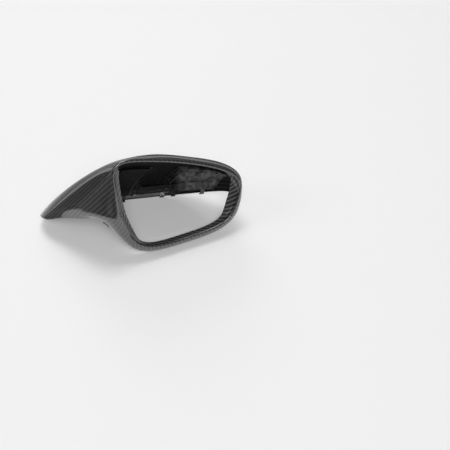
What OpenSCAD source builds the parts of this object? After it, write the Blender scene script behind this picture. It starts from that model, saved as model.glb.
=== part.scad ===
// Wing mirror cover, right-hand side: a one-piece carbon laminate shell. A ring runs round the
// mirror opening, a hood sweeps forward from its top, and an arm reaches inboard to a nose.
// Two black plastic carriers are bonded inside the hood and clip it to the mirror housing.
// The guide frame has its origin in the middle of the opening, X outboard, Y forward, Z up.
// The finished part is turned so that it stands on the ring's beam and the tip of the nose.

/* [Mirror opening] */
// Width of the opening, over the ridge round it
ring_w = 200; // [185:1:215]
// Height of the opening, over the ridge
ring_h = 131; // [122:1:140]

/* [Hood and arm] */
// How far the arm reaches inboard of the opening
arm_reach = 67; // [55:1:80]
// How far the hood reaches forward of the opening
hood_depth = 143; // [130:1:156]
// How far the nose hangs below the middle of the opening
hood_drop = 58; // [52:1:64]

/* [Ring] */
// Radius of the rounded ridge round the opening
ridge_r = 2.5; // [2.4:0.1:3.2]
// Depth of the free beam below the opening
beam_depth = 21; // [18:0.5:25]
// How far the beam's skin swells outside the ridge
beam_swell = 12.5; // [10:0.5:14.5]
// Depth of the bezel wall inside the ring
bezel_depth = 12; // [10:0.5:15]
// How far the bezel closes in at its two sides
bezel_side_draft = 10.5; // [8:0.5:13]
// How far the bezel closes in at its top and bottom
bezel_top_draft = 0.5; // [0:0.5:3]

/* [Laminate] */
// Thickness of the carbon laminate
wall = 2.2; // [1.8:0.1:2.3]

/* [Drip groove] */
// Distance from the ridge to the groove along the top of the hood
groove_in = 18; // [14:0.5:22]
// Width of the groove's floor
groove_w = 4; // [3:0.5:5]
// Depth of the groove
groove_d = 1.8; // [1:0.1:2.2]

/* [Edge tab] */
// How far the locating tab stands below the arm's lower edge
tab_h = 4; // [2:0.5:5]

/* [Carriers] */
// Thickness of the adhesive between the laminate and a carrier
bond_t = 1.2; // [0.8:0.1:1.6]
// Clearance left on each side of the adhesive
bond_gap = 0.3; // [0.2:0.05:0.4]
// Thickness of a carrier's plate
carrier_t = 2.2; // [1.8:0.1:2.8]
// Height of the ribs on the hood carrier
rib_h = 6; // [4:0.5:8]
// How far a snap hook reaches past the hood's edge
hook_reach = 3; // [2.5:0.5:6]
// Height of a snap hook's barb
barb_h = 2; // [1.5:0.5:2.5]

/* [Hidden] */

// Stations round the ring, clockwise from its lower inboard corner as seen from behind.
// Points on the ridge: half widths outboard, half heights up
RIDGE = [
    [-0.75, -0.53], [-0.88, -0.12], [-0.97, 0.35], [-1.00, 0.76], [-0.85, 0.97], [-0.54, 1.00],
    [-0.17, 0.98], [0.25, 0.91], [0.67, 0.77], [0.94, 0.54], [1.00, 0.26], [0.98, 0.01],
    [0.89, -0.38], [0.62, -0.66], [0.21, -0.86], [-0.19, -1.00], [-0.53, -0.93]
];
// Sections of the hood and the arm, one for each station up to the beam. A row holds the
// trimmed edge as half widths, arm reaches, hood depths and hood drops, then the pull of the
// section as it leaves the ridge and as it meets the edge, as arm reaches, depths and drops
HOOD = [
    [[-0.94, 0.00, 0.22, 0.64], [-0.34, -0.10, -0.05], [-0.06, -0.06, 0.03]],
    [[-1.00, 0.40, 0.23, 0.53], [-0.29, -0.13, -0.17], [-0.01, -0.07, 0.23]],
    [[-1.00, 0.73, 0.48, 0.73], [-0.37, 0.02, -0.42], [0.17, -0.10, 0.45]],
    [[-1.00, 0.96, 0.67, 0.92], [-0.16, 0.14, -0.41], [0.29, -0.07, 0.45]],
    [[-1.00, 0.95, 0.89, 0.99], [-0.24, 0.22, -0.20], [0.30, 0.02, 0.54]],
    [[-1.00, 0.47, 0.98, 0.98], [-0.28, 0.30, 0.03], [0.29, 0.13, 0.59]],
    [[-0.78, 0.00, 0.94, 0.81], [-0.18, 0.36, 0.20], [0.16, 0.15, 0.68]],
    [[-0.18, 0.00, 0.85, 0.62], [-0.07, 0.35, 0.20], [0.10, 0.14, 0.68]],
    [[0.41, 0.00, 0.71, 0.41], [0.06, 0.30, 0.26], [0.09, 0.10, 0.66]],
    [[0.77, 0.00, 0.43, 0.10], [0.18, 0.17, 0.26], [0.05, 0.02, 0.56]],
    [[0.99, 0.00, 0.21, -0.07], [0.15, 0.09, 0.09], [0.04, -0.02, 0.36]],
    [[1.04, 0.00, 0.13, 0.14], [0.15, 0.03, -0.04], [0.03, -0.04, 0.17]]
];
STATIONS = len(RIDGE);
MOST_LEAN = 125;
// Columns between two stations
FINE = 5;

// Stations where the locating tab starts and ends, and its short flanks
TAB = [-0.12, 0.12];
TAB_FLANK = 0.06;
// Stations where the groove starts and ends, and the length of its run-outs
GROOVE = [4.4, 9.3];
GROOVE_RUN = 0.4;

function unit(a) = a / norm(a);
function wrap(i) = (i % STATIONS + STATIONS) % STATIONS;
function clamp01(t) = min(1, max(0, t));

// Closed cubic spline. Its control points are moved until the curve passes through the points
function spline_mid(c, i) = (c[wrap(i - 1)] + 4 * c[i] + c[wrap(i + 1)]) / 6;
function through(p, c, passes) = passes == 0 ? c
    : through(p, [for (i = [0:STATIONS - 1]) c[i] + p[i] - spline_mid(c, i)], passes - 1);
function spline(c, u) =
    let (i = floor(u), t = u - i, s = 1 - t)
    (s * s * s * c[wrap(i - 1)] + (3 * t * t * t - 6 * t * t + 4) * c[wrap(i)]
    + (3 * s * s * s - 6 * s * s + 4) * c[wrap(i + 1)] + t * t * t * c[wrap(i + 2)]) / 6;
PASSES = 12;
function guide(p) = through(p, p, PASSES);

ridge_pts = [for (r = RIDGE) [r.x * ring_w / 2, 0, r.y * ring_h / 2]];
ridge_c = guide(ridge_pts);
function ridge(u) = spline(ridge_c, u);
// Direction away from the opening, square to the ridge
function outward(u) =
    let (t = ridge(u + 0.05) - ridge(u - 0.05))
    unit([-t.z, 0, t.x]);

// Guides of the sections: the hood's rows as given, the beam's from its own depth and swell
function hood_edge(e) =
    [e[0] * ring_w / 2 - e[1] * arm_reach, e[2] * hood_depth, -e[3] * hood_drop];
function hood_pull(p) = [p.x * arm_reach, p.y * hood_depth, p.z * hood_drop];
function beam_edge(i) = ridge_pts[i] + beam_swell * outward(i) + [0, beam_depth, 0];
edge_c = guide([for (i = [0:STATIONS - 1]) i < len(HOOD) ? hood_edge(HOOD[i][0]) : beam_edge(i)]);
leave_c = guide([for (i = [0:STATIONS - 1]) i < len(HOOD) ? hood_pull(HOOD[i][1])
    : 0.75 * beam_swell * outward(i) + [0, 0.05 * beam_depth, 0]]);
meet_c = guide([for (i = [0:STATIONS - 1]) i < len(HOOD) ? hood_pull(HOOD[i][2])
    : [0, -0.35 * beam_depth, 0]]);

// A section is a cubic curve from the ridge's round to the trimmed edge. It leaves the round
// at this angle, 0 forward and 90 outward
function lean(u) =
    let (p = spline(leave_c, u))
    min(MOST_LEAN, max(0, atan2(p * outward(u), p.y)));
function round_at(u, angle, r) =
    ridge(u) + [0, ridge_r, 0] + r * (cos(angle) * outward(u) - sin(angle) * [0, 1, 0]);
function section(u) =
    let (p0 = round_at(u, lean(u), ridge_r), p3 = spline(edge_c, u))
    [p0, p0 + spline(leave_c, u), p3 + spline(meet_c, u), p3];
function on_curve(b, v) =
    let (w = 1 - v)
    w * w * w * b[0] + 3 * w * w * v * b[1] + 3 * w * v * v * b[2] + v * v * v * b[3];
function along_curve(b, v) =
    let (w = 1 - v)
    w * w * (b[1] - b[0]) + 2 * w * v * (b[2] - b[1]) + v * v * (b[3] - b[2]);
function skin(u, v) = on_curve(section(u), v);
// Outward normal of the skin
function facing(u, v) =
    unit(cross(skin(u + 0.04, v) - skin(u - 0.04, v), along_curve(section(u), v)));
// A point at a depth below the skin
function below(u, v, depth) = skin(u, v) - depth * facing(u, v);

// Rows of the skin: the groove's four lines near the ridge, then even steps down to the edge
pull_len = 3 * norm(hood_pull(HOOD[6][1]));
groove_v = [for (s = [-1.2, -0.5, 0.5, 1.2]) (groove_in + s * groove_w) / pull_len];
ROWS = concat([0], groove_v, [0.21, 0.28, 0.36, 0.45, 0.54, 0.63, 0.72, 0.81, 0.89, 0.95, 1]);
LAST_ROW = len(ROWS) - 1;
function in_groove(u, j) = (j == 2 || j == 3)
    ? clamp01((u - GROOVE[0]) / GROOVE_RUN) * clamp01((GROOVE[1] - u) / GROOVE_RUN) : 0;
function in_tab(u) =
    let (w = u > STATIONS / 2 ? u - STATIONS : u)
    clamp01((w - TAB[0]) / TAB_FLANK + 1) * clamp01((TAB[1] - w) / TAB_FLANK + 1);

// Columns round the ring, with extra ones at the tab's flanks
COLUMNS = concat(
    [0, TAB[1], TAB[1] + TAB_FLANK],
    [for (i = [2:STATIONS * FINE - 2]) i / FINE],
    [STATIONS + TAB[0] - TAB_FLANK, STATIONS + TAB[0]]);

// Bezel wall: leaves the ridge's round going forward and curls in to the throat
function throat(u) =
    let (n = outward(u), draft = bezel_side_draft * n.x * n.x + bezel_top_draft * n.z * n.z)
    ridge(u) - (ridge_r + draft) * n + [0, bezel_depth, 0];
function bezel(u, w) =
    let (a = round_at(u, 180, ridge_r), b = a + [0, 0.55 * (bezel_depth - ridge_r), 0], c = throat(u))
    (1 - w) * (1 - w) * a + 2 * w * (1 - w) * b + w * w * c;
function bezel_side(u, w) =
    let (t = unit(bezel(u, w + 0.02) - bezel(u, w - 0.02)), n = outward(u))
    unit(n - (n * t) * t);

BEZEL_STEPS = [0, 0.4, 0.75, 1];
ROUND_STEPS = [0.25, 0.5, 0.75];

// Closed outline of the laminate at one column, in from the edge over the ridge and back
function outline(u) =
    let (q = [for (v = ROWS) skin(u, v)],
        n = [for (v = ROWS) facing(u, v)],
        d = [for (j = [0:LAST_ROW]) groove_d * in_groove(u, j)],
        tab = in_tab(u) * tab_h * [0, 0, -1])
    concat(
        [for (j = [LAST_ROW:-1:0]) q[j] - d[j] * n[j] + (j == LAST_ROW ? tab : [0, 0, 0])],
        [for (s = ROUND_STEPS) round_at(u, lean(u) + s * (180 - lean(u)), ridge_r)],
        [for (w = BEZEL_STEPS) bezel(u, w)],
        [for (k = [len(BEZEL_STEPS) - 1:-1:0])
            bezel(u, BEZEL_STEPS[k]) + wall * bezel_side(u, BEZEL_STEPS[k])],
        [for (j = [0:LAST_ROW]) q[j] - (d[j] + wall) * n[j] + (j == LAST_ROW ? tab : [0, 0, 0])]);

// Skins a closed ring of outlines
module ring_of(outlines) {
    rings = len(outlines);
    size = len(outlines[0]);
    polyhedron(
        points = [for (o = outlines) each o],
        faces = [for (i = [0:rings - 1], j = [0:size - 1])
            let (a = i * size, b = (i + 1) % rings * size, k = (j + 1) % size)
            each [[a + j, b + j, b + k], [a + j, b + k, a + k]]]);
}

// Plate that follows the skin between two depths, over a range of stations and rows
module plate(us, vs, near, far) {
    nu = len(us);
    nv = len(vs);
    top = [for (u = us, v = vs) below(u, v, near)];
    bottom = [for (u = us, v = vs) below(u, v, far)];
    base = nu * nv;
    rim = concat(
        [for (j = [0:nv - 1]) j],
        [for (i = [1:nu - 1]) i * nv + nv - 1],
        [for (j = [nv - 2:-1:0]) (nu - 1) * nv + j],
        [for (i = [nu - 2:-1:1]) i * nv]);
    polyhedron(
        points = concat(top, bottom),
        faces = concat(
            [for (i = [0:nu - 2], j = [0:nv - 2]) let (a = i * nv + j)
                each [[a, a + nv + 1, a + nv], [a, a + 1, a + nv + 1]]],
            [for (i = [0:nu - 2], j = [0:nv - 2]) let (a = base + i * nv + j)
                each [[a, a + nv, a + nv + 1], [a, a + nv + 1, a + 1]]],
            [for (k = [0:len(rim) - 1]) let (a = rim[k], b = rim[(k + 1) % len(rim)])
                each [[a, b + base, b], [a, a + base, b + base]]]));
}

// Turns the guide frame so that the part stands on two edges: the hood's front edge, at the
// first two of these stations, and the beam's edge at the third
FEET = [6, 7.3, 14.2];
feet = [for (u = FEET) spline(edge_c, u)];
floor_up = unit(cross(feet[1] - feet[0], feet[2] - feet[0])) * -1;
rest_roll = -atan2(floor_up.x, floor_up.z);
rest_pitch = atan2(floor_up.y, norm([floor_up.x, floor_up.z]));
function rolled(p) =
    [p.x * cos(rest_roll) + p.z * sin(rest_roll), p.y, p.z * cos(rest_roll) - p.x * sin(rest_roll)];
function pitched(p) =
    [p.x, p.y * cos(rest_pitch) - p.z * sin(rest_pitch), p.y * sin(rest_pitch) + p.z * cos(rest_pitch)];
outlines = [for (u = COLUMNS) outline(u)];
rested = [for (o = outlines, p = o) pitched(rolled(p))];
// Lowest and highest corner of the rested shell along one axis
function low(axis) = min([for (p = rested) p[axis]]);
function high(axis) = max([for (p = rested) p[axis]]);
module placed() {
    translate([-(low(0) + high(0)) / 2, -(low(1) + high(1)) / 2, -low(2)])
        rotate([rest_pitch, 0, 0])
            rotate([0, rest_roll, 0])
                children();
}

module carbon_shell() {
    color([0.10, 0.10, 0.11])
        placed()
            ring_of(outlines);
}

// Carriers follow the hood's inner face, each on its own bed of adhesive
bond_near = wall + bond_gap;
bond_far = bond_near + bond_t;
carrier_near = bond_far + bond_gap;
carrier_far = carrier_near + carrier_t;
// Margin of adhesive squeezed out round a carrier, in stations and in rows
SQUEEZE = [0.07, 0.012];
// Columns of the skin from one station to another, and its rows from one index to another
function columns(from, to) = [for (i = [round(from * FINE):round(to * FINE)]) i / FINE];
function rows(from, to) = [for (j = [from:to]) ROWS[j]];
function spread(list, margin) =
    concat([list[0] - margin], list, [list[len(list) - 1] + margin]);

// The hood carrier: an upper plate and a longer, thicker rail beside the front edge
UPPER = [columns(7.6, 9.2), rows(9, 13)];
RAIL = [concat(columns(7, 9), [9.14]), rows(12, 14)];
rail_near = carrier_near + 0.25;
rail_far = carrier_far + 1;
// Stations of the ribs that stand on the upper plate, and of the snap hooks on the rail
RIBS = [7.7, 8.3, 8.86];
HOOKS = [7.65, 7.95, 8.85];
// Rows that the ribs run over, and stations that the long rib across them runs over
RIB_ROWS = concat([ROWS[9] + 0.02], rows(10, 12));
LONG_RIB = concat([7.03], columns(7.2, 9), [9.1]);
// Half widths of a rib and of a hook, in stations, and of the long rib, in rows
RIB_HALF = 0.025;
HOOK_HALF = 0.06;
LONG_RIB_HALF = 0.006;
// How far a rib's root is sunk into the plate below it
RIB_ROOT = 0.8;
// The arm carrier: a plate on the front wall, and a tongue that passes the edge
ARM_PLATE = [columns(6, 6.8), rows(9, 14)];
TONGUE_AT = 6.67;
TONGUE_HALF = 0.09;
tongue_reach = hook_reach + 2;
// Where a hook's root starts in its plate, how far its faces lie inside the plate's, the
// barb's share of its width, and the set-back of the barb from its tip
HOOK_ROOT = 0.92;
HOOK_INSET = 0.45;
BARB_SHARE = 0.9;
BARB_BACK = 0.3;

// Share of the section that a length past the front edge takes, at one station
function past_edge(u, length) = length / (3 * norm(along_curve(section(u), 1)));

// A snap hook: a flat tongue past the edge with a barb across its end
module hook(u, half, reach, near, far) {
    tip = 1 + past_edge(u, reach);
    neck = 1 + past_edge(u, reach - barb_h);
    barb = tip - past_edge(u, BARB_BACK);
    plate([u - half, u + half], [HOOK_ROOT, 1, tip], near + HOOK_INSET, far - HOOK_INSET);
    plate([u - BARB_SHARE * half, u + BARB_SHARE * half], [neck, barb],
        (near + far) / 2, far + barb_h);
}

module hood_carrier() {
    color([0.05, 0.05, 0.05])
        placed() {
            plate(UPPER[0], UPPER[1], carrier_near, carrier_far);
            plate(RAIL[0], RAIL[1], rail_near, rail_far);
            for (u = RIBS)
                plate([u - RIB_HALF, u + RIB_HALF], RIB_ROWS,
                    carrier_far - RIB_ROOT, carrier_far + rib_h - RIB_ROOT);
            plate(LONG_RIB, [ROWS[12] - LONG_RIB_HALF, ROWS[12] + LONG_RIB_HALF],
                carrier_far - RIB_ROOT, carrier_far + rib_h);
            for (u = HOOKS)
                hook(u, HOOK_HALF, hook_reach, rail_near, rail_far);
        }
}

module arm_carrier() {
    color([0.05, 0.05, 0.05])
        placed() {
            plate(ARM_PLATE[0], ARM_PLATE[1], carrier_near, carrier_far);
            hook(TONGUE_AT, TONGUE_HALF, tongue_reach, carrier_near, carrier_far);
        }
}

// The adhesive under one plate
module bed(patch) {
    plate(spread(patch[0], SQUEEZE[0]), spread(patch[1], SQUEEZE[1]), bond_near, bond_far);
}

module hood_bond() {
    color([0.16, 0.16, 0.17])
        placed() {
            bed(UPPER);
            bed(RAIL);
        }
}

module arm_bond() {
    color([0.16, 0.16, 0.17])
        placed()
            bed(ARM_PLATE);
}

carbon_shell();
hood_carrier();
arm_carrier();
hood_bond();
arm_bond();
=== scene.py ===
import math
import bpy
import numpy as np
from mathutils import Matrix, Vector


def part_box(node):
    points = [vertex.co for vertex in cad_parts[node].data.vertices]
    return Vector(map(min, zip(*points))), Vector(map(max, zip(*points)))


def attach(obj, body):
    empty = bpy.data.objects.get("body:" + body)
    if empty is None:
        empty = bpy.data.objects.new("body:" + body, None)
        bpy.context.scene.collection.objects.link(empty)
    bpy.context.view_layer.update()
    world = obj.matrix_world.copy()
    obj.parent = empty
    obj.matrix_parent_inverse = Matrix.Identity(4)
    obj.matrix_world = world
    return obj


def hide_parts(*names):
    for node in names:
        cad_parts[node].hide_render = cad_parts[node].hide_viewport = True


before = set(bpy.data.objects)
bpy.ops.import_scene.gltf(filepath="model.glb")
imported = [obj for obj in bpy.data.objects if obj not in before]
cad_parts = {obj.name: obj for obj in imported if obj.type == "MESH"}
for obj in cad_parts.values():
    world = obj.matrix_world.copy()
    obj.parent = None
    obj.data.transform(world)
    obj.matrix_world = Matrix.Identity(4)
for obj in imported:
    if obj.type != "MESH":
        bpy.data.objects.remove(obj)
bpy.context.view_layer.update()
shellLow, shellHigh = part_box("carbon_shell")
mm = 0.001

# The cover's surfaces, in the guide frame: millimetres, X outboard, Y forward, Z up.
# A station is a point of the ridge, counted clockwise from its lower inboard corner as seen from
# behind, and a fraction lies between two of them.
coverSizes = {
    "ringWidth": 200.0,  # over the ridge round the mirror opening
    "ringHeight": 131.0,
    "armReach": 67.0,
    "hoodDepth": 143.0,
    "hoodDrop": 58.0,
    "ridgeRadius": 2.5,
    "leanLimit": 125.0,  # degrees, the most that the skin leans from forward where it leaves the ridge
    "beamDepth": 21.0,  # the free beam below the opening
    "beamSwell": 12.5,
    "beamPulls": (0.75, 0.05, -0.35),  # of swell and depth at the ridge, of depth at the edge
    "bezelDepth": 12.0,
    "bezelPull": 0.55,  # share of its depth that shapes the bezel's bend
    "bezelSideDraft": 10.5,  # how far the bezel closes in
    "bezelTopDraft": 0.5,
    "wall": 2.2,
    "grooveIn": 18.0,  # from the ridge to the drip groove
    "grooveWidth": 4.0,
    "grooveDepth": 1.8,
    "grooveStations": (4.4, 9.3),
    "grooveRun": 0.4,  # stations over which it runs out at its ends
    "grooveRow": 6,  # row of the hood's plan that turns its distances into shares of a section
    "tabHeight": 4.0,
    "tabStations": (-0.12, 0.12),
    "tabFlank": 0.06,
    "feet": (6.0, 7.3, 14.2),  # stations of the edges that the cover stands on
}
# Points on the ridge: half widths outboard, half heights up
ridgePlan = [
    [-0.75, -0.53], [-0.88, -0.12], [-0.97, 0.35], [-1.00, 0.76], [-0.85, 0.97], [-0.54, 1.00],
    [-0.17, 0.98], [0.25, 0.91], [0.67, 0.77], [0.94, 0.54], [1.00, 0.26], [0.98, 0.01],
    [0.89, -0.38], [0.62, -0.66], [0.21, -0.86], [-0.19, -1.00], [-0.53, -0.93],
]
# Sections of the hood and the arm, one for each station up to the beam. A row holds the trimmed
# edge as half widths, arm reaches, hood depths and hood drops, then the pull of the section as it
# leaves the ridge and as it meets the edge, as arm reaches, depths and drops.
hoodPlan = [
    [[-0.94, 0.00, 0.22, 0.64], [-0.34, -0.10, -0.05], [-0.06, -0.06, 0.03]],
    [[-1.00, 0.40, 0.23, 0.53], [-0.29, -0.13, -0.17], [-0.01, -0.07, 0.23]],
    [[-1.00, 0.73, 0.48, 0.73], [-0.37, 0.02, -0.42], [0.17, -0.10, 0.45]],
    [[-1.00, 0.96, 0.67, 0.92], [-0.16, 0.14, -0.41], [0.29, -0.07, 0.45]],
    [[-1.00, 0.95, 0.89, 0.99], [-0.24, 0.22, -0.20], [0.30, 0.02, 0.54]],
    [[-1.00, 0.47, 0.98, 0.98], [-0.28, 0.30, 0.03], [0.29, 0.13, 0.59]],
    [[-0.78, 0.00, 0.94, 0.81], [-0.18, 0.36, 0.20], [0.16, 0.15, 0.68]],
    [[-0.18, 0.00, 0.85, 0.62], [-0.07, 0.35, 0.20], [0.10, 0.14, 0.68]],
    [[0.41, 0.00, 0.71, 0.41], [0.06, 0.30, 0.26], [0.09, 0.10, 0.66]],
    [[0.77, 0.00, 0.43, 0.10], [0.18, 0.17, 0.26], [0.05, 0.02, 0.56]],
    [[0.99, 0.00, 0.21, -0.07], [0.15, 0.09, 0.09], [0.04, -0.02, 0.36]],
    [[1.04, 0.00, 0.13, 0.14], [0.15, 0.03, -0.04], [0.03, -0.04, 0.17]],
]
stationCount = len(ridgePlan)
forward = np.array([0.0, 1.0, 0.0])
downward = np.array([0.0, 0.0, -1.0])
guidePasses = 12
# Steps over which a direction is measured: in stations for the ridge and the skin, and in shares
# of the bezel for the others
nearby = {"ridge": 0.05, "skin": 0.04, "bezel": 0.02, "throat": 0.04}


def unit(a):  # each vector over its own length
    return a / np.maximum(np.linalg.norm(a, axis=-1, keepdims=True), 1e-12)


def smooth(t):  # three times t squared less twice t cubed, level below 0 and above 1
    t = np.clip(t, 0, 1)
    return t * t * (3 - 2 * t)


def guide(points):  # control points, moved by what their closed spline still misses the points
    points = np.array(points, float)
    control = points.copy()
    for _ in range(guidePasses):
        mid = (np.roll(control, 1, 0) + 4 * control + np.roll(control, -1, 0)) / 6
        control += points - mid
    return control


def spline(control, u):  # closed cubic B-spline at stations u, an array of any shape
    i = np.floor(u).astype(int)
    t = (u - i)[..., None]
    s = 1 - t
    n = len(control)
    return (s**3 * control[(i - 1) % n] + (3 * t**3 - 6 * t * t + 4) * control[i % n]
            + (3 * s**3 - 6 * s * s + 4) * control[(i + 1) % n] + t**3 * control[(i + 2) % n]) / 6


ridgePoints = np.array([[x * coverSizes["ringWidth"] / 2, 0, z * coverSizes["ringHeight"] / 2]
                        for x, z in ridgePlan])
ridgeControl = guide(ridgePoints)


def ridge(u):  # crest line round the opening: the spline through the ridge's points
    return spline(ridgeControl, u)


def outward(u):  # square to the ridge, away from the opening: its direction turned by 90 degrees
    t = ridge(u + nearby["ridge"]) - ridge(u - nearby["ridge"])
    return unit(np.stack([-t[..., 2], 0 * t[..., 0], t[..., 0]], -1))


def hoodPull(p):  # arm reaches, hood depths and hood drops made millimetres
    return np.array([p[0] * coverSizes["armReach"], p[1] * coverSizes["hoodDepth"],
                     p[2] * coverSizes["hoodDrop"]])


def hoodEdge(e):  # half widths less arm reaches outboard, hood depths forward, hood drops down
    return [e[0] * coverSizes["ringWidth"] / 2 - e[1] * coverSizes["armReach"],
            e[2] * coverSizes["hoodDepth"], -e[3] * coverSizes["hoodDrop"]]


# Guides of the sections: the hood's rows as given, the beam's from its own depth and swell
beamStations = np.arange(len(hoodPlan), stationCount, dtype=float)
beamOut = coverSizes["beamSwell"] * outward(beamStations)
beamForward = coverSizes["beamDepth"] * forward
beamEdge = ridgePoints[len(hoodPlan):] + beamOut + beamForward
leaveOut, leaveForward, meetForward = coverSizes["beamPulls"]
beamLeave = leaveOut * beamOut + leaveForward * beamForward
beamMeet = 0 * beamOut + meetForward * beamForward
edgeControl = guide(np.vstack([[hoodEdge(edge) for edge, leave, meet in hoodPlan], beamEdge]))
leaveControl = guide(np.vstack([[hoodPull(leave) for edge, leave, meet in hoodPlan], beamLeave]))
meetControl = guide(np.vstack([[hoodPull(meet) for edge, leave, meet in hoodPlan], beamMeet]))


def lean(u):  # angle at which the skin leaves the ridge's round, from forward to outward, in radians
    p = spline(leaveControl, u)
    angle = np.arctan2((p * outward(u)).sum(-1), p[..., 1])
    return np.clip(angle, 0, math.radians(coverSizes["leanLimit"]))


def roundAt(u, angle, radius):  # circle about the ridge's round: outward at 0, back at 90 degrees
    centre = ridge(u) + coverSizes["ridgeRadius"] * forward
    return centre + radius * (np.cos(angle)[..., None] * outward(u)
                              - np.sin(angle)[..., None] * forward)


def section(u):  # the four points of the cubic from the ridge's round to the trimmed edge
    start = roundAt(u, lean(u), coverSizes["ridgeRadius"])
    end = spline(edgeControl, u)
    return start, start + spline(leaveControl, u), end + spline(meetControl, u), end


def skin(u, v):  # cubic Bezier curve of the section, v from 0 at the ridge to 1 at the edge
    a, b, c, d = section(u)
    v = v[..., None]
    w = 1 - v
    return w**3 * a + 3 * w * w * v * b + 3 * w * v * v * c + v**3 * d


def alongSkin(u, v):  # a third of the skin's derivative from the ridge to the edge
    a, b, c, d = section(u)
    v = v[..., None]
    w = 1 - v
    return w * w * (b - a) + 2 * w * v * (c - b) + v * v * (d - c)


def facing(u, v):  # outward normal: cross product of the directions round the ring and to the edge
    return unit(np.cross(skin(u + nearby["skin"], v) - skin(u - nearby["skin"], v), alongSkin(u, v)))


def throat(u):  # the bezel's end: the ridge, moved in by radius and draft and forward by its depth
    n = outward(u)
    draft = coverSizes["bezelSideDraft"] * n[..., 0] ** 2 + coverSizes["bezelTopDraft"] * n[..., 2] ** 2
    inset = (coverSizes["ridgeRadius"] + draft)[..., None]
    return ridge(u) - inset * n + coverSizes["bezelDepth"] * forward


def bezel(u, w):  # quadratic from the ridge's round at 0 to the throat at 1, starting forward
    a = roundAt(u, np.full_like(u, math.pi), coverSizes["ridgeRadius"])
    straight = coverSizes["bezelDepth"] - coverSizes["ridgeRadius"]
    b = a + coverSizes["bezelPull"] * straight * forward
    w = w[..., None]
    return (1 - w) ** 2 * a + 2 * w * (1 - w) * b + w * w * throat(u)


def bezelSide(u, w):  # normal away from the opening: outward less its part along the bezel
    t = unit(bezel(u, w + nearby["bezel"]) - bezel(u, w - nearby["bezel"]))
    n = outward(u)
    return unit(n - (n * t).sum(-1, keepdims=True) * t)


def runLengths(points, axis):  # distance along a row of points from its first
    steps = np.linalg.norm(np.diff(points, axis=axis), axis=-1)
    return np.concatenate([np.zeros_like(steps.take([0], axis)), np.cumsum(steps, axis)], axis)


# Turn from the guide frame to the pose that the cover stands in: the plane through three feet
# on the trimmed edges is the floor
feet = [spline(edgeControl, np.array(u)) for u in coverSizes["feet"]]
floorUp = -unit(np.cross(feet[1] - feet[0], feet[2] - feet[0]))
restRoll = -math.atan2(floorUp[0], floorUp[2])
restPitch = math.atan2(floorUp[1], math.hypot(floorUp[0], floorUp[2]))
rollTurn = np.array(Matrix.Rotation(restRoll, 3, "Y"))
pitchTurn = np.array(Matrix.Rotation(restPitch, 3, "X"))
restTurn = pitchTurn @ rollTurn


# Quads over an array of columns by rows that closes both ways. The coordinates have one column
# more: uv at the row that a quad starts from, uvNext at the row that it ends on.
def gridMesh(name, points, uv, uvNext):
    columns, rows = points.shape[:2]
    i, j = np.meshgrid(np.arange(columns), np.arange(rows), indexing="ij")
    k = (j + 1) % rows
    a, b = i * rows, (i + 1) % columns * rows
    quads = np.stack([a + k, b + k, b + j, a + j], -1).reshape(-1, 4)
    quadUv = np.stack([uvNext[:-1], uvNext[1:], uv[1:], uv[:-1]], 2)
    mesh = bpy.data.meshes.new(name)
    mesh.vertices.add(columns * rows)
    mesh.vertices.foreach_set("co", points.reshape(-1, 3).astype(np.float32).ravel())
    mesh.loops.add(quads.size)
    mesh.loops.foreach_set("vertex_index", quads.astype(np.int32).ravel())
    mesh.polygons.add(len(quads))
    mesh.polygons.foreach_set("loop_start", np.arange(0, quads.size, 4, dtype=np.int32))
    mesh.polygons.foreach_set("use_smooth", np.ones(len(quads), bool))
    layer = mesh.uv_layers.new(name="cloth")
    layer.data.foreach_set("uv", quadUv.astype(np.float32).ravel())
    mesh.update()
    mesh.validate()
    piece = bpy.data.objects.new(name, mesh)
    bpy.context.scene.collection.objects.link(piece)
    return piece, j.ravel()


# Cloth coordinates: the skin is laid flat so that the weave keeps its size on it
clothPlan = {
    "seam": 16.3,  # station at which the skin is cut open
    "cellsPerStation": 6,
    "rows": 16,
    "passes": 80,
    "shortest": 1.0,  # millimetres; shorter sides weigh no more than this one
    "turn": -65.0,  # degrees that the flat cloth is turned under the weave
}


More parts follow.
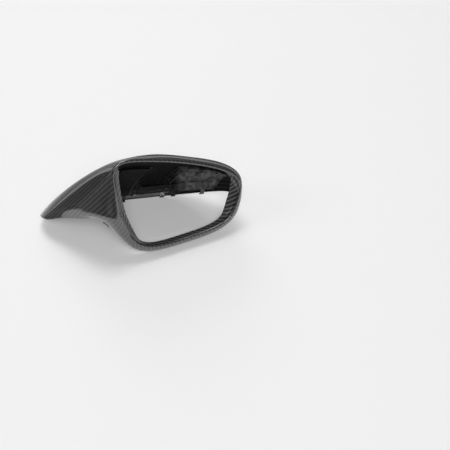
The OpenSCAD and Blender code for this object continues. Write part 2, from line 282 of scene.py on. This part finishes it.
# Flat places of a grid of points. Each cell keeps the true lengths of its sides and diagonals in
# its own plane, and is turned as a whole to where its corners lie. Then all corners move to suit
# all cells by least squares, and so on for the given number of passes.
def layFlat(points, passes):
    columns, rows = points.shape[:2]
    index = np.arange(columns * rows).reshape(columns, rows)
    corners = [index[:-1, :-1].ravel(), index[1:, :-1].ravel(),
               index[1:, 1:].ravel(), index[:-1, 1:].ravel()]
    place = points.reshape(-1, 3)
    a, b, c, d = (place[corner] for corner in corners)
    across = unit(b + c - a - d)
    up = np.cross(unit(np.cross(across, d + c - a - b)), across)
    sides = ((0, 1), (1, 2), (3, 2), (0, 3), (0, 2), (1, 3))  # the last two are the diagonals
    stepFrom = np.concatenate([corners[i] for i, j in sides])
    stepTo = np.concatenate([corners[j] for i, j in sides])
    step = place[stepTo] - place[stepFrom]
    trueStep = np.stack([(step * np.tile(w, (len(sides), 1))).sum(-1) for w in (across, up)], -1)
    weight = 1 / np.maximum(np.linalg.norm(step, axis=1), clothPlan["shortest"])
    links = np.zeros((index.size, index.size))
    np.add.at(links, (stepFrom, stepFrom), weight)
    np.add.at(links, (stepTo, stepTo), weight)
    np.add.at(links, (stepFrom, stepTo), -weight)
    np.add.at(links, (stepTo, stepFrom), -weight)
    links[0, 0] += 1.0  # holds the first corner
    solve = np.linalg.inv(links)

    flat = np.stack(np.broadcast_arrays(runLengths(points[:, :1], 0), runLengths(points, 1)), -1)
    flat = flat.reshape(-1, 2)
    for _ in range(passes):
        now = flat[stepTo] - flat[stepFrom]
        along = (now * trueStep).sum(-1)
        aside = now[:, 1] * trueStep[:, 0] - now[:, 0] * trueStep[:, 1]
        cosine = (weight * along).reshape(len(sides), -1).sum(0)
        sine = (weight * aside).reshape(len(sides), -1).sum(0)
        angle = np.tile(np.arctan2(sine, cosine), len(sides))
        wanted = weight[:, None] * np.stack([
            np.cos(angle) * trueStep[:, 0] - np.sin(angle) * trueStep[:, 1],
            np.sin(angle) * trueStep[:, 0] + np.cos(angle) * trueStep[:, 1]], -1)
        pulls = np.zeros((index.size, 2))
        np.add.at(pulls, stepTo, wanted)
        np.add.at(pulls, stepFrom, -wanted)
        flat = solve @ pulls
    return flat.reshape(columns, rows, 2)


cellStations = np.arange(stationCount * clothPlan["cellsPerStation"] + 1)
clothU = clothPlan["seam"] + cellStations / clothPlan["cellsPerStation"]
clothV = np.linspace(0, 1, clothPlan["rows"])
flatSkin = layFlat(skin(*np.meshgrid(clothU, clothV, indexing="ij")), clothPlan["passes"])
turnCos = math.cos(math.radians(clothPlan["turn"]))
turnSin = math.sin(math.radians(clothPlan["turn"]))
clothGrid = flatSkin @ np.array([[turnCos, turnSin], [-turnSin, turnCos]])


def cloth(u, v):  # cloth coordinates of skin points: the grid's, blended by the shares of a cell
    x = (u - clothPlan["seam"]) % stationCount * clothPlan["cellsPerStation"]
    y = v * (len(clothV) - 1)
    i = np.clip(np.floor(x).astype(int), 0, len(clothU) - 2)
    j = np.clip(np.floor(y).astype(int), 0, len(clothV) - 2)
    s, t = (x - i)[..., None], (y - j)[..., None]
    return ((1 - s) * (1 - t) * clothGrid[i, j] + s * (1 - t) * clothGrid[i + 1, j]
            + (1 - s) * t * clothGrid[i, j + 1] + s * t * clothGrid[i + 1, j + 1])


print("cloth laid")

# Carbon shell
shellPlan = {
    "columnsPerStation": 24,
    "flankColumns": 5,  # on each flank of the tab
    "columnGap": 0.004,  # stations; columns closer than this are one
    "rows": 56,
    "lastRows": (0.985, 0.993, 0.997),  # last of the even rows, and two more before the edge
    "grooveRows": 21,
    "grooveSpread": 1.25,  # groove widths on each side over which its rows lie
    "tabFrom": 0.93,  # share of the section where the skin starts down to the tab
    "ridgeRows": 10,
    "bezelRows": 12,
    "bezelEnd": 0.97,  # share of the bezel where its rounded end takes over
    "edgeRadius": 0.5,  # of the trimmed edges
    "edgePoints": 5,  # on each of an edge's two quarter rounds
    "seamGap": 1e-6,  # stations between the last cloth column and the seam
}
digits = 6  # decimals at which two stations or shares count as the same

# Columns: even ones, with more on the tab's flanks, counted from the seam
tabFrom, tabTo = coverSizes["tabStations"]
flank = coverSizes["tabFlank"]
evenColumns = np.arange(stationCount * shellPlan["columnsPerStation"]) / shellPlan["columnsPerStation"]
tabColumns = np.concatenate([np.linspace(tabFrom - flank, tabFrom, shellPlan["flankColumns"]),
                             np.linspace(tabTo, tabTo + flank, shellPlan["flankColumns"])])
columnU = (np.concatenate([evenColumns, tabColumns % stationCount]) - clothPlan["seam"]) % stationCount
columnU = np.unique(np.round(columnU, digits))
isApart = np.concatenate([[True], np.diff(columnU) > shellPlan["columnGap"]])
shellU = columnU[isApart] + clothPlan["seam"]
shellU[0] = clothPlan["seam"]

# Rows: even ones, with more over the groove and just before the trimmed edge. Where it leaves
# the ridge, a section is three times its pull long for each unit of v.
pullLength = 3 * np.linalg.norm(hoodPull(hoodPlan[coverSizes["grooveRow"]][1]))
grooveMid = coverSizes["grooveIn"] / pullLength
grooveShare = coverSizes["grooveWidth"] / pullLength
spread = shellPlan["grooveSpread"] * grooveShare
shellV = np.unique(np.round(np.concatenate([
    np.linspace(0, shellPlan["lastRows"][0], shellPlan["rows"]), shellPlan["lastRows"][1:],
    np.linspace(grooveMid - spread, grooveMid + spread, shellPlan["grooveRows"])]), digits))
gridU, gridV = np.meshgrid(shellU, shellV, indexing="ij")


def grooveAt(u, v):  # full depth over its width, smoothed out over half a width and at its ends
    start, stop = coverSizes["grooveStations"]
    u = u % stationCount
    run = smooth((u - start) / coverSizes["grooveRun"]) * smooth((stop - u) / coverSizes["grooveRun"])
    off = np.abs(v - grooveMid) / grooveShare
    return coverSizes["grooveDepth"] * run * (1 - smooth((off - 0.5) / 0.5))


def tabAt(u):  # height of the tab below the edge, smoothed over a flank at both of its ends
    u = (u + stationCount / 2) % stationCount - stationCount / 2
    return coverSizes["tabHeight"] * smooth((u - tabFrom) / flank + 1) * smooth((tabTo - u) / flank + 1)


# Points round the cut end of a wall, from its first face to its second: two quarter rounds, each
# its centre plus the radius times the cosine and the sine of two directions
def roundedEnd(corner, along, across, thickness, radius):
    turn = np.linspace(0, math.pi / 2, shellPlan["edgePoints"])[None, :, None]
    along, across, corner = along[:, None], across[:, None], corner[:, None]
    first = corner - radius * along - radius * across
    first = first + radius * (np.cos(turn) * across + np.sin(turn) * along)
    second = corner - radius * along - (thickness - radius) * across
    second = second + radius * (np.cos(turn) * along - np.sin(turn) * across)
    return np.concatenate([first, second], 1)


# Outline of each column: skin from edge to ridge, ridge, bezel, its end, and back inside
wall, edgeRadius = coverSizes["wall"], shellPlan["edgeRadius"]
ones = np.ones_like(shellU)
skinPoints, skinNormals = skin(gridU, gridV), facing(gridU, gridV)
groove = grooveAt(gridU, gridV)[..., None]
tabShare = smooth((shellV[None] - shellPlan["tabFrom"]) / (1 - shellPlan["tabFrom"]))
tabLift = (tabAt(shellU)[:, None] * tabShare)[..., None] * downward
outer = skinPoints - groove * skinNormals + tabLift
inner = skinPoints - (groove + wall) * skinNormals + tabLift
edgeEnd = skin(shellU, ones) + tabAt(shellU)[:, None] * downward
edgeRound = roundedEnd(edgeEnd, unit(alongSkin(shellU, ones)), facing(shellU, ones), wall, edgeRadius)
edgeRound = edgeRound[:, ::-1]
ridgeSteps = np.linspace(0, 1, shellPlan["ridgeRows"] + 2)[1:-1]
ridgeU, ridgeS = np.meshgrid(shellU, ridgeSteps, indexing="ij")
ridgeAngle = lean(ridgeU) + ridgeS * (math.pi - lean(ridgeU))
ridgeOuter = roundAt(ridgeU, ridgeAngle, coverSizes["ridgeRadius"])
ridgeInner = roundAt(ridgeU, ridgeAngle, coverSizes["ridgeRadius"] - wall)[:, ::-1]
bezelSteps = np.linspace(0, shellPlan["bezelEnd"], shellPlan["bezelRows"])
bezelU, bezelW = np.meshgrid(shellU, bezelSteps, indexing="ij")
bezelOuter = bezel(bezelU, bezelW)
bezelInner = (bezelOuter + wall * bezelSide(bezelU, bezelW))[:, ::-1]
throatEnd = bezel(shellU, ones)
throatAlong = unit(throatEnd - bezel(shellU, (1 - nearby["throat"]) * ones))
throatRound = roundedEnd(throatEnd, throatAlong, -bezelSide(shellU, ones), wall, edgeRadius)
print("shell outlined")

# Cloth coordinates along the same outline, with one more column that closes the seam. Those of
# the skin run on over the ridge by true length, square to its first row. Those of a strip round
# the opening are the distance along the ridge and the distance past the skin's start.
closed = np.arange(len(shellU) + 1) % len(shellU)
seamU = np.concatenate([shellU, [clothPlan["seam"] + stationCount - shellPlan["seamGap"]]])
skinCloth = cloth(*np.meshgrid(seamU, shellV, indexing="ij"))
quarterTurn = np.array([[0.0, -1.0], [1.0, 0.0]])
inwards = unit(np.gradient(skinCloth[:, 0], axis=0))[:, None] @ quarterTurn
pastRidge = np.concatenate([skinPoints[:, :1], ridgeOuter, bezelOuter, throatRound], 1)[closed]
distance = runLengths(pastRidge, 1)[:, 1:, None]
runOn = skinCloth[:, :1] + inwards * distance
roundRidge = np.broadcast_to(runLengths(ridge(seamU), 0)[:, None, None], distance.shape)
strip = np.concatenate([roundRidge, distance], -1)
ridgeCount, bezelCount = len(ridgeSteps), len(bezelSteps)
ridgeRows = slice(0, ridgeCount)
bezelRows = slice(ridgeCount, ridgeCount + bezelCount)
endRows = slice(ridgeCount + bezelCount, None)
edgeCloth = np.repeat(skinCloth[:, -1:], edgeRound.shape[1], 1)
outline = [  # kind, points, coordinates on the skin's cloth, coordinates on the strip
    ("outer", outer[:, ::-1], skinCloth[:, ::-1], 0 * skinCloth),
    ("outer", ridgeOuter, runOn[:, ridgeRows], strip[:, ridgeRows]),
    # the bezel's outer rows take the finish with the painted fibre glint
    ("bezel", bezelOuter, runOn[:, bezelRows], strip[:, bezelRows]),
    ("cut", throatRound, runOn[:, endRows], strip[:, endRows]),
    ("inner", bezelInner, runOn[:, bezelRows][:, ::-1], strip[:, bezelRows][:, ::-1]),
    ("inner", ridgeInner, runOn[:, ridgeRows][:, ::-1], strip[:, ridgeRows][:, ::-1]),
    ("inner", inner, skinCloth, 0 * skinCloth),
    ("cut", edgeRound, edgeCloth, 0 * edgeCloth),
]
shellGuide = np.concatenate([points for kind, points, onSkin, onStrip in outline], 1)
rowKind = np.concatenate([[kind] * points.shape[1] for kind, points, onSkin, onStrip in outline])
allOnSkin = np.concatenate([onSkin for kind, points, onSkin, onStrip in outline], 1) * mm
allOnStrip = np.concatenate([onStrip for kind, points, onSkin, onStrip in outline], 1) * mm

# The strip is used from the crest of the ridge, over the bezel and back to the ridge's inside
stripFrom = outer.shape[1] + ridgeCount // 2
stripTo = outer.shape[1] + 2 * (ridgeCount + bezelCount) + throatRound.shape[1] - 1
rowIndex = np.arange(len(rowKind))
isStrip = ((rowIndex >= stripFrom) & (rowIndex < stripTo))[:, None]
shellCloth = np.where(isStrip, allOnStrip, allOnSkin)
nextCloth = np.where(isStrip, np.roll(allOnStrip, -1, 1), np.roll(allOnSkin, -1, 1))

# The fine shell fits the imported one's box, from the same floor and the same middle
rested = shellGuide @ restTurn.T * mm
low, high = rested.reshape(-1, 3).min(0), rested.reshape(-1, 3).max(0)
boxLow, boxHigh = np.array(shellLow), np.array(shellHigh)
fitScale = min(1.0, float(np.min((boxHigh - boxLow) / (high - low))))
middle = np.array([(low[0] + high[0]) / 2, (low[1] + high[1]) / 2, low[2]])
boxMiddle = np.array([(boxLow[0] + boxHigh[0]) / 2, (boxLow[1] + boxHigh[1]) / 2, boxLow[2]])
shell, shellRow = gridMesh("shell", (rested - middle) * fitScale + boxMiddle, shellCloth, nextCloth)

# A face has the kind of its two rows. Where they differ it is cut if one of them is, else outer.
slotOf = {"outer": 0, "inner": 1, "cut": 2, "bezel": 3}
nextKind = np.roll(rowKind, -1)
slotOfRow = np.where(rowKind == nextKind, [slotOf[kind] for kind in rowKind], slotOf["outer"])
slotOfRow[(rowKind == "cut") | (nextKind == "cut")] = slotOf["cut"]
slotOfFace = slotOfRow[shellRow]
onTab = np.repeat(tabAt(shellU) > 0, len(rowKind))
slotOfFace[onTab & (slotOfFace == slotOf["cut"])] = slotOf["outer"]  # the tab is finished all round
shell.data.polygons.foreach_set("material_index", slotOfFace.astype(np.int32))
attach(shell, "root")
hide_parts("carbon_shell")
print("shell built:", len(shell.data.polygons), "quads, scale", round(fitScale, 5))


# Materials
class Nodes:  # short names for the nodes of one material
    def __init__(self, name):
        self.material = bpy.data.materials.new(name)
        self.material.use_nodes = True
        self.tree = self.material.node_tree
        self.shader = self.tree.nodes["Principled BSDF"]

    def put(self, socket, value):  # links an output, or writes a fixed value
        if isinstance(value, bpy.types.NodeSocket):
            self.tree.links.new(value, socket)
        else:
            socket.default_value = value

    def calc(self, operation, a, b=None, c=None):  # the operation on one, two or three values
        node = self.tree.nodes.new("ShaderNodeMath")
        node.operation = operation
        for socket, value in zip(node.inputs, (a, b, c)):
            if value is not None:
                self.put(socket, value)
        return node.outputs[0]

    def cloth(self):  # the shell's own coordinates, in metres of cloth
        node = self.tree.nodes.new("ShaderNodeUVMap")
        node.uv_map = "cloth"
        return node.outputs[0]

    def objectPlace(self):  # place on the object, in metres
        return self.tree.nodes.new("ShaderNodeTexCoord").outputs["Object"]

    def split(self, vector):  # X and Y of a vector
        node = self.tree.nodes.new("ShaderNodeSeparateXYZ")
        self.put(node.inputs[0], vector)
        return node.outputs[0], node.outputs[1]

    def length(self, vector):  # how long a vector is
        node = self.tree.nodes.new("ShaderNodeVectorMath")
        node.operation = "LENGTH"
        self.put(node.inputs[0], vector)
        return node.outputs["Value"]

    def ramp(self, value, start, stop):  # smoothly from 0 at start to 1 at stop
        node = self.tree.nodes.new("ShaderNodeMapRange")
        node.interpolation_type = "SMOOTHSTEP"
        self.put(node.inputs["Value"], value)
        node.inputs["From Min"].default_value = start
        node.inputs["From Max"].default_value = stop
        return node.outputs["Result"]

    def noise(self, vector, scale, detail):  # uneven patches, 0 to 1, about scale of them per metre
        node = self.tree.nodes.new("ShaderNodeTexNoise")
        self.put(node.inputs["Vector"], vector)
        node.inputs["Scale"].default_value = scale
        node.inputs["Detail"].default_value = detail
        return node.outputs["Fac"]

    def grey(self, value):  # a colour with the value in all three channels
        node = self.tree.nodes.new("ShaderNodeCombineColor")
        for socket in node.inputs[:3]:
            self.put(socket, value)
        return node.outputs[0]

    def bump(self, height, distance):  # normal of a relief: the height, 0 to 1, times the distance
        node = self.tree.nodes.new("ShaderNodeBump")
        node.inputs["Distance"].default_value = distance
        node.inputs["Strength"].default_value = 1.0
        self.put(node.inputs["Height"], height)
        return node.outputs[0]

    def set(self, **values):  # inputs of the shader, with underscores for spaces
        for name, value in values.items():
            self.put(self.shader.inputs[name.replace("_", " ")], value)


twillLook = {
    "tow": 2.1 * mm,  # width of one tow; ribs repeat every four tows
    "warpGrey": 0.055,
    "weftGrey": 0.002,
    "gapShade": 0.40,  # brightness left in the gaps between tows
    "alongPower": 4.0,  # a tow is flatter on top with a higher power
    "acrossPower": 6.0,
    "relief": 0.10 * mm,
    "coatRoughness": 0.03,
    "coatIor": 1.75,
    "outside": {"brightness": 0.88, "roughness": 0.38, "specular": 0.4, "coat": 1.0},
    "inside": {"brightness": 0.4, "roughness": 0.50, "specular": 0.2, "coat": 0.05},
    # painted highlight: the bezel is the skin's cloth with its tows painted far brighter and a thinner
    # coat, for the glint of its fibres
    "bezel": {"brightness": 2.3, "roughness": 0.38, "specular": 0.3, "coat": 0.60},
    "cut": {"grey": 0.02, "roughness": 0.4, "specular": 0.3},
}


# Two-by-two twill. Cells of one tow each lie on the cloth; the warp is on top where column less row,
# over four, leaves 0 or 1, and each float runs over two cells and dips at its ends.
def twill(name, finish):
    n = Nodes(name)
    u, v = n.split(n.cloth())
    u = n.calc("DIVIDE", u, twillLook["tow"])
    v = n.calc("DIVIDE", v, twillLook["tow"])
    fracU, fracV = n.calc("FRACT", u), n.calc("FRACT", v)
    columnLessRow = n.calc("SUBTRACT", n.calc("FLOOR", u), n.calc("FLOOR", v))
    offset = n.calc("ROUND", n.calc("FLOORED_MODULO", columnLessRow, 4.0))
    weftUp = n.calc("GREATER_THAN", offset, 1.5)
    warpAlong = n.calc("MULTIPLY", n.calc("ADD", n.calc("SUBTRACT", 1.0, offset), fracV), 0.5)
    weftAlong = n.calc("MULTIPLY", n.calc("ADD", n.calc("SUBTRACT", offset, 2.0), fracU), 0.5)

    def pick(a, b):  # a where the warp is up, b where the weft is
        return n.calc("ADD", n.calc("MULTIPLY", a, n.calc("SUBTRACT", 1.0, weftUp)),
                      n.calc("MULTIPLY", b, weftUp))

    def dome(t, power):  # 1 in the middle of 0..1 and 0 at both ends
        side = n.calc("ABSOLUTE", n.calc("SUBTRACT", n.calc("MULTIPLY", t, 2.0), 1.0))
        return n.calc("SUBTRACT", 1.0, n.calc("POWER", side, power))

    along = dome(pick(warpAlong, weftAlong), twillLook["alongPower"])
    across = dome(pick(fracU, fracV), twillLook["acrossPower"])
    height = n.calc("MULTIPLY", along, across)
    grey = pick(twillLook["warpGrey"], twillLook["weftGrey"])
    gapShade = twillLook["gapShade"]
    shade = n.calc("ADD", n.calc("MULTIPLY", height, 1 - gapShade), gapShade)
    tone = n.calc("MULTIPLY", n.calc("MULTIPLY", grey, shade), finish["brightness"])
    n.set(Base_Color=n.grey(tone), Roughness=finish["roughness"], Metallic=0.0,
          Specular_IOR_Level=finish["specular"], Normal=n.bump(height, twillLook["relief"]),
          Coat_Weight=finish["coat"], Coat_Roughness=twillLook["coatRoughness"],
          Coat_IOR=twillLook["coatIor"])
    return n.material


def plain(name, finish):  # one grey all over
    n = Nodes(name)
    n.set(Base_Color=(finish["grey"],) * 3 + (1,), Roughness=finish["roughness"],
          Specular_IOR_Level=finish["specular"])
    return n.material


shellMaterials = {
    "outer": twill("carbon", twillLook["outside"]),
    "inner": twill("carbonInside", twillLook["inside"]),
    "cut": plain("carbonCut", twillLook["cut"]),
    # the bezel's finish carries a painted fibre glint
    "bezel": twill("carbonBezelPaintedGlint", twillLook["bezel"]),
}
for kind in sorted(slotOf, key=slotOf.get):
    shell.data.materials.append(shellMaterials[kind])

# Uneven plastic and glue. The greys set in over a range along X, in metres.
unevenLook = {
    "patchesPerMetre": 120.0,
    "patchFrom": (0.36, 0.66),  # of the noise, from the first grey to the second
    "detail": 3.0,
    "hoodCarrier": {"dark": 0.006, "greys": (0.06, 0.18), "greyFrom": (0.064, 0.080),
                    "roughness": 0.24, "specular": 0.5, "lumps": 0.4 * mm, "lumpsPerMetre": 380.0},
    "armCarrier": {"dark": 0.004, "greys": (0.004, 0.01), "greyFrom": (-0.05, 0.03),
                   "roughness": 0.40, "specular": 0.2, "lumps": 0.4 * mm, "lumpsPerMetre": 380.0},
    "glue": {"dark": 0.01, "greys": (0.02, 0.10), "greyFrom": (0.058, 0.078),
             "roughness": 0.32, "specular": 0.5, "lumps": 0.6 * mm, "lumpsPerMetre": 260.0},
}


# Dark inboard and, past the range along X, two greys mixed by a coarse noise, with lumps of a
# finer noise in relief
def mottled(name, look):
    n = Nodes(name)
    place = n.objectPlace()
    low, high = look["greys"]
    detail = unevenLook["detail"]
    patches = n.ramp(n.noise(place, unevenLook["patchesPerMetre"], detail), *unevenLook["patchFrom"])
    mixed = n.calc("MULTIPLY_ADD", patches, high - low, low - look["dark"])
    outboard = n.ramp(n.split(place)[0], *look["greyFrom"])
    grey = n.calc("MULTIPLY_ADD", mixed, outboard, look["dark"])
    lumps = n.bump(n.noise(place, look["lumpsPerMetre"], detail), look["lumps"])
    n.set(Base_Color=n.grey(grey), Roughness=look["roughness"], Specular_IOR_Level=look["specular"],
          Normal=lumps)
    return n.material


glueMaterial = mottled("adhesive", unevenLook["glue"])
innerPieces = {  # material and slot of each
    "hood_carrier": (mottled("hood_carrier", unevenLook["hoodCarrier"]), "black_plastic"),
    "arm_carrier": (mottled("arm_carrier", unevenLook["armCarrier"]), "black_plastic"),
    "hood_bond": (glueMaterial, "adhesive"),
    "arm_bond": (glueMaterial, "adhesive"),
}
for node, (material, slotName) in innerPieces.items():
    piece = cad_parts[node]
    piece.data.materials.clear()
    piece.data.materials.append(material)
print("materials made")

# Floor. Its ranges are in metres from the origin.
floorLook = {
    "size": 40.0,
    "grey": 0.755,  # of the paper itself, which takes the shadow
    "roughness": 0.9,
    "glow": 0.18,  # added to it where the camera sees it
    "farGrey": 0.87,  # the even tone that it reaches far away
    "farFrom": (0.9, 3.0),
    # What the gloss coat sees of it, all painted reflection: pale before the cover, greyer behind it,
    # and dark far behind
    "behindFrom": (-0.05, 0.20),  # along Y plus the next share of X
    "behindSkew": 0.6,
    "paintedReflectionShareBehind": 0.45,  # of its tone that is left there
    # painted reflection: a pale glow that only the gloss coat sees before the cover
    "paintedFrontGlow": 0.50,
    "paintedFrontGlowFrom": (-0.10, 0.25),  # less of it close to the cover
    "paintedStreakFrom": (0.60, 0.68),  # a painted highlight: a pale stretch before the dark, seen by the gloss coat only
    "paintedStreakGlow": 0.55,
    "paintedDarkFrom": (0.95, 1.05),
}


# Paper with a tone and a glow of its own. For the camera, the tone falls to nothing and the glow
# rises to one grey with distance. For the gloss coat, the tone falls and the glow changes from
# the front to the back: painted reflections of a pale front and dark behind, and a painted highlight
# streak.
def paperMaterial():
    n = Nodes("paper")
    place = n.objectPlace()
    away = n.length(place)
    x, y = n.split(place)
    far = n.ramp(away, *floorLook["farFrom"])
    behind = n.ramp(n.calc("MULTIPLY_ADD", x, floorLook["behindSkew"], y), *floorLook["behindFrom"])
    lit = n.calc("SUBTRACT", 1.0, n.ramp(away, *floorLook["paintedDarkFrom"]))
    paintedStreak = n.calc("MULTIPLY", n.ramp(away, *floorLook["paintedStreakFrom"]), lit)
    rays = n.tree.nodes.new("ShaderNodeLightPath").outputs
    straight, mirrored = rays["Is Camera Ray"], rays["Is Glossy Ray"]

    # painted dark reflection: for the gloss coat the paper keeps less tone behind the cover and none
    # far behind
    paintedShadeBehind = n.calc("MULTIPLY_ADD", lit, -floorLook["paintedReflectionShareBehind"], 1.0)
    paintedShadeMirrored = n.calc("MULTIPLY", mirrored, n.calc("MULTIPLY", behind, paintedShadeBehind))
    lostStraight = n.calc("MULTIPLY", straight, far)
    kept = n.calc("SUBTRACT", 1.0, n.calc("MAXIMUM", paintedShadeMirrored, lostStraight))
    tone = n.calc("MULTIPLY", kept, floorLook["grey"])

    farGlow = floorLook["farGrey"] - floorLook["glow"]
    straightGlow = n.calc("MULTIPLY_ADD", far, farGlow, floorLook["glow"])
    # painted reflection and painted highlight: glow that only gloss rays see
    paintedFrontGlow = n.calc("MULTIPLY", n.calc("SUBTRACT", 1.0, behind), floorLook["paintedFrontGlow"])
    paintedFrontGlow = n.calc("MULTIPLY", paintedFrontGlow, n.ramp(away, *floorLook["paintedFrontGlowFrom"]))
    paintedBackGlow = n.calc("MULTIPLY", n.calc("MULTIPLY", behind, paintedStreak), floorLook["paintedStreakGlow"])
    paintedReflectionGlow = n.calc("MULTIPLY", n.calc("ADD", paintedFrontGlow, paintedBackGlow), mirrored)
    glow = n.calc("ADD", n.calc("MULTIPLY", straightGlow, straight), paintedReflectionGlow)
    n.set(Base_Color=n.grey(tone), Roughness=floorLook["roughness"], Specular_IOR_Level=0.0,
          Emission_Color=(1, 1, 1, 1), Emission_Strength=glow)
    return n.material


floorMesh = bpy.data.meshes.new("floor")
h = floorLook["size"] / 2
floorMesh.from_pydata([(-h, -h, 0), (h, -h, 0), (h, h, 0), (-h, h, 0)], [], [(0, 1, 2, 3)])
floorMesh.materials.append(paperMaterial())
floor = bpy.data.objects.new("floor", floorMesh)
bpy.context.scene.collection.objects.link(floor)

# World and lamps
worldLook = {"grey": 0.13, "strength": 1.0}
world = bpy.data.worlds.new("studio")
bpy.context.scene.world = world
world.use_nodes = True
background = world.node_tree.nodes["Background"]
background.inputs["Color"].default_value = (worldLook["grey"],) * 3 + (1,)
background.inputs["Strength"].default_value = worldLook["strength"]

lampPlan = {  # metres and watts
    "overhead": {"place": (0.3, 1.0, 3.6), "aim": (0, 0, 0), "size": (1.6, 1.6), "power": 60.0},
    "rear": {"place": (-0.8, -2.7, 3.2), "aim": (0, 0.05, 0), "size": (1.6, 1.0), "power": 62.0},
    "leftFill": {"place": (-3.6, 0.6, 2.6), "aim": (0, 0, 0), "size": (2.0, 2.0), "power": 23.0},
    "frontFill": {"place": (0.6, 3.6, 2.2), "aim": (0, 0, 0), "size": (2.4, 2.0), "power": 40.0},
}


def softbox(name, plan):  # a rectangular lamp at its place, turned towards its aim
    data = bpy.data.lights.new(name, "AREA")
    data.shape = "RECTANGLE"
    data.size, data.size_y = plan["size"]
    data.energy = plan["power"]
    lamp = bpy.data.objects.new(name, data)
    bpy.context.scene.collection.objects.link(lamp)
    lamp.location = plan["place"]
    sight = Vector(plan["aim"]) - Vector(plan["place"])
    lamp.rotation_euler = sight.to_track_quat("-Z", "Y").to_euler()


for name, plan in lampPlan.items():
    softbox(name, plan)

# Camera
cameraPlace = {
    "place": (-0.4083, -1.0679, 1.2175),
    "azimuth": -27.19,  # 0 looks forward, along +Y
    "elevation": 46.94,
    "roll": 2.99,
    "lens": 88.0,  # millimetres, as the sensor
    "sensor": 36.0,
    "clip": (0.05, 50.0),
}
cameraData = bpy.data.cameras.new("camera")
cameraData.lens = cameraPlace["lens"]
cameraData.sensor_width = cameraPlace["sensor"]
cameraData.clip_start, cameraData.clip_end = cameraPlace["clip"]
camera = bpy.data.objects.new("camera", cameraData)
bpy.context.scene.collection.objects.link(camera)
bpy.context.scene.camera = camera
camera.location = cameraPlace["place"]
turn = (Matrix.Rotation(math.radians(cameraPlace["azimuth"]), 3, "Z")
        @ Matrix.Rotation(math.radians(90 - cameraPlace["elevation"]), 3, "X")
        @ Matrix.Rotation(math.radians(cameraPlace["roll"]), 3, "Z"))
camera.rotation_euler = turn.to_euler()
bpy.context.scene.view_settings.view_transform = "Standard"
print("stage set")
